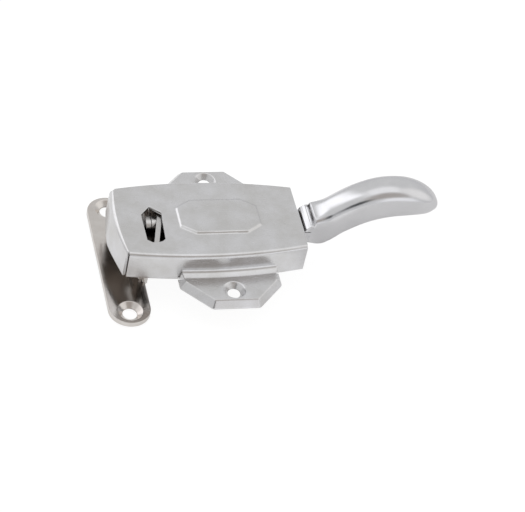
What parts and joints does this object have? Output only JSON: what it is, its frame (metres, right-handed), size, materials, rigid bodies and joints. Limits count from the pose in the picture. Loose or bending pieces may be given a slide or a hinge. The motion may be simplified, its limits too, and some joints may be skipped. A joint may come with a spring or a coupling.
{
  "type": "cabinet latch",
  "caption": "Surface-mounted refrigerator or cabinet latch: folded steel housing with screw ears, polished S-shaped pull handle, sliding spring bolt and separate countersunk strike.",
  "frame": {"origin": "midway between the two ear screw holes, on the mounting plane of the housing", "axes": "+X from the closed nose to the handle, +Y across the ears, +Z away from the door"},
  "size_m": [0.1549, 0.0862, 0.0471],
  "materials": {
    "housing": "satin",
    "inner_steel": "plated",
    "handle": "polished",
    "pin_steel": "turned",
    "clip_steel": "blued",
    "washer": "plain",
    "bolt_steel": "plated",
    "arm_steel": "plated",
    "spring_steel": "drawn wire",
    "strike": "polished"
  },
  "bodies": {
    "latch": {"housing": "housing", "chassis": "inner_steel", "handle_pin": "pin_steel", "clip_near": "clip_steel", "clip_far": "clip_steel", "washer_near": "washer", "washer_far": "washer", "strap_front": "inner_steel", "strap_rear": "inner_steel", "strap_rivet_a": "pin_steel", "strap_rivet_b": "pin_steel", "strap_rivet_c": "pin_steel", "strap_rivet_d": "pin_steel", "arm_post": "pin_steel", "arm_clip": "clip_steel", "arm_spring": "spring_steel"},
    "pull": {"handle": "handle"},
    "bolt_slider": {"bolt": "bolt_steel", "bolt_nose": "bolt_steel", "nose_rivet_a": "pin_steel", "nose_rivet_b": "pin_steel"},
    "arm": {"return_arm": "arm_steel"},
    "keeper": {"strike": "strike"}
  },
  "joints": [
    {"name": "handle_turn", "type": "hinge", "parent": "latch", "child": "pull", "pos_m": [0.033, 0, 0.009], "axis": [0, -1, 0], "range_deg": [0, 24], "stiffness_Nm_per_rad": 0.25, "springref_deg": -17.19},
    {"name": "bolt_slide", "type": "slide", "parent": "latch", "child": "bolt_slider", "axis": [1, 0, 0], "range_m": [0, 0.00257]},
    {"name": "arm_swing", "type": "hinge", "parent": "latch", "child": "arm", "pos_m": [-0.0259, 0.0142, 0.011], "axis": [0, 0, 1], "range_deg": [0, 5.7], "deforming": ["arm_spring"]},
    {"name": "strike_ease", "type": "slide", "parent": "latch", "child": "keeper", "axis": [0, 0, -1], "range_m": [0, 0.00131]}
  ],
  "couplings": [
    {"joint": "bolt_slide", "follows": "handle_turn", "m_per_rad": 0.006117},
    {"joint": "arm_swing", "follows": "handle_turn", "ratio": 0.2346},
    {"joint": "strike_ease", "follows": "handle_turn", "m_per_rad": 0.0031}
  ]
}
